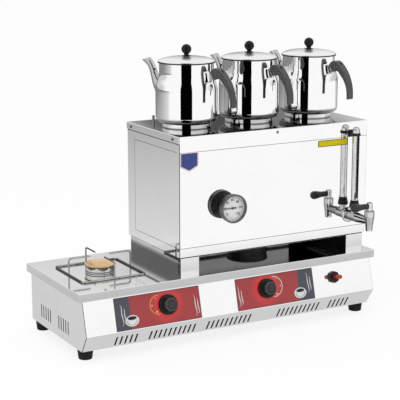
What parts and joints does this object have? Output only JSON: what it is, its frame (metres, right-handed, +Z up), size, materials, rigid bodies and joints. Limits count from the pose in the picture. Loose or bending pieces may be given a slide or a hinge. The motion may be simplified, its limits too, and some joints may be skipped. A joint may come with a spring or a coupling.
{
  "type": "gas tea boiler with three teapots",
  "caption": "Polished steel gas tea boiler: wide stove with side burner, water boiler with tap, sight glass and dial, and teapots seated in its lid.",
  "frame": {"origin": "on the table, in the middle of the whole footprint", "axes": "+X along the stove to the right, +Y to the back, +Z up"},
  "size_m": [0.85, 0.4304, 0.7188],
  "materials": {
    "polished_steel": "mirror polished",
    "satin_steel": "satin",
    "pot_steel": "bright polished",
    "plated_steel": "zinc plated",
    "chrome": "polished",
    "dark_chrome": "black chrome",
    "brass": "bright",
    "cast_iron": "matt black",
    "red_paint": "gloss enamel",
    "black_paint": "satin",
    "white_dial": "gloss white",
    "black_plastic": "moulded gloss",
    "red_plastic": "moulded gloss",
    "black_rubber": "matt",
    "clear_glass": "clear"
  },
  "bodies": {
    "base": {"base_cabinet": "polished_steel", "base_tray": "polished_steel", "base_floor": "satin_steel", "rubber_feet": "black_rubber", "foot_screws": "plated_steel", "control_plate_left": "red_paint", "control_plate_right": "red_paint", "gas_valve_left": "brass", "gas_valve_right": "brass", "gas_rail": "plated_steel", "gas_nipple": "brass", "supply_pipe_side": "plated_steel", "supply_pipe_main": "plated_steel", "igniter_body": "black_plastic", "igniter_nut": "plated_steel", "side_burner_body": "chrome", "main_burner_body": "cast_iron", "boiler_stand": "polished_steel"},
    "boiler": {"boiler_casing": "polished_steel", "water_tank": "satin_steel", "boiler_lid": "polished_steel", "lid_screws": "plated_steel", "vent_pipe": "chrome", "tap_body": "chrome", "tap_escutcheon": "chrome", "tap_locknut": "brass", "gauge_nut": "black_plastic", "gauge_glass": "clear_glass", "gauge_guard": "chrome", "gauge_clip": "black_plastic", "thermometer_case": "dark_chrome", "thermometer_dial": "white_dial", "thermometer_glass": "clear_glass", "thermometer_stem": "brass"},
    "pot_1": {"pot_body_1": "pot_steel", "pot_handle_1": "black_plastic"},
    "pot_1_lid": {"pot_lid_1": "satin_steel", "lid_knob_1": "black_plastic"},
    "pot_2": {"pot_body_2": "pot_steel", "pot_handle_2": "black_plastic"},
    "pot_2_lid": {"pot_lid_2": "satin_steel", "lid_knob_2": "black_plastic"},
    "pot_3": {"pot_body_3": "pot_steel", "pot_handle_3": "black_plastic"},
    "pot_3_lid": {"pot_lid_3": "satin_steel", "lid_knob_3": "black_plastic"},
    "tap_handle": {"tap_plug": "chrome", "tap_lever": "black_plastic"},
    "dial_pointer": {"thermometer_pointer": "black_paint"},
    "left_control": {"knob_left": "black_plastic", "valve_spindle_left": "plated_steel"},
    "right_control": {"knob_right": "black_plastic", "valve_spindle_right": "plated_steel"},
    "igniter_push": {"igniter_button": "red_plastic"},
    "pot_stand_loose": {"pot_stand": "chrome"},
    "side_cap": {"side_burner_cap": "brass"},
    "main_cap": {"main_burner_cap": "cast_iron"}
  },
  "joints": [
    {"name": "boiler_lift", "type": "slide", "parent": "base", "child": "boiler", "axis": [0, 0, 1], "range_m": [0, 0.08]},
    {"name": "pot_1_lift", "type": "slide", "parent": "boiler", "child": "pot_1", "axis": [0, 0, 1], "range_m": [0, 0.12]},
    {"name": "pot_1_lid_lift", "type": "slide", "parent": "pot_1", "child": "pot_1_lid", "axis": [0, 0, 1], "range_m": [0, 0.08]},
    {"name": "pot_2_lift", "type": "slide", "parent": "boiler", "child": "pot_2", "axis": [0, 0, 1], "range_m": [0, 0.12]},
    {"name": "pot_2_lid_lift", "type": "slide", "parent": "pot_2", "child": "pot_2_lid", "axis": [0, 0, 1], "range_m": [0, 0.08]},
    {"name": "pot_3_lift", "type": "slide", "parent": "boiler", "child": "pot_3", "axis": [0, 0, 1], "range_m": [0, 0.12]},
    {"name": "pot_3_lid_lift", "type": "slide", "parent": "pot_3", "child": "pot_3_lid", "axis": [0, 0, 1], "range_m": [0, 0.08]},
    {"name": "tap_turn", "type": "hinge", "parent": "boiler", "child": "tap_handle", "pos_m": [0.355, -0.20225, 0.308], "axis": [0, 0, 1], "range_deg": [0, 90]},
    {"name": "pointer_turn", "type": "hinge", "parent": "boiler", "child": "dial_pointer", "pos_m": [-0.012, -0.13825, 0.331], "axis": [0, 1, 0], "range_deg": [-45, 225]},
    {"name": "left_knob_turn", "type": "hinge", "parent": "base", "child": "left_control", "pos_m": [-0.194, -0.14876, 0.11625], "axis": [0, -0.9677, 0.2521], "range_deg": [0, 180]},
    {"name": "right_knob_turn", "type": "hinge", "parent": "base", "child": "right_control", "pos_m": [0.0875, -0.14876, 0.11625], "axis": [0, -0.9677, 0.2521], "range_deg": [0, 180]},
    {"name": "igniter_press", "type": "slide", "parent": "base", "child": "igniter_push", "axis": [0, 0.9677, -0.2521], "range_m": [0, 0.006], "stiffness_N_per_m": 600},
    {"name": "pot_stand_lift", "type": "slide", "parent": "base", "child": "pot_stand_loose", "axis": [0, 0, 1], "range_m": [0, 0.1]},
    {"name": "side_cap_lift", "type": "slide", "parent": "base", "child": "side_cap", "axis": [0, 0, 1], "range_m": [0, 0.015]},
    {"name": "main_cap_lift", "type": "slide", "parent": "base", "child": "main_cap", "axis": [0, 0, 1], "range_m": [0, 0.011]}
  ]
}
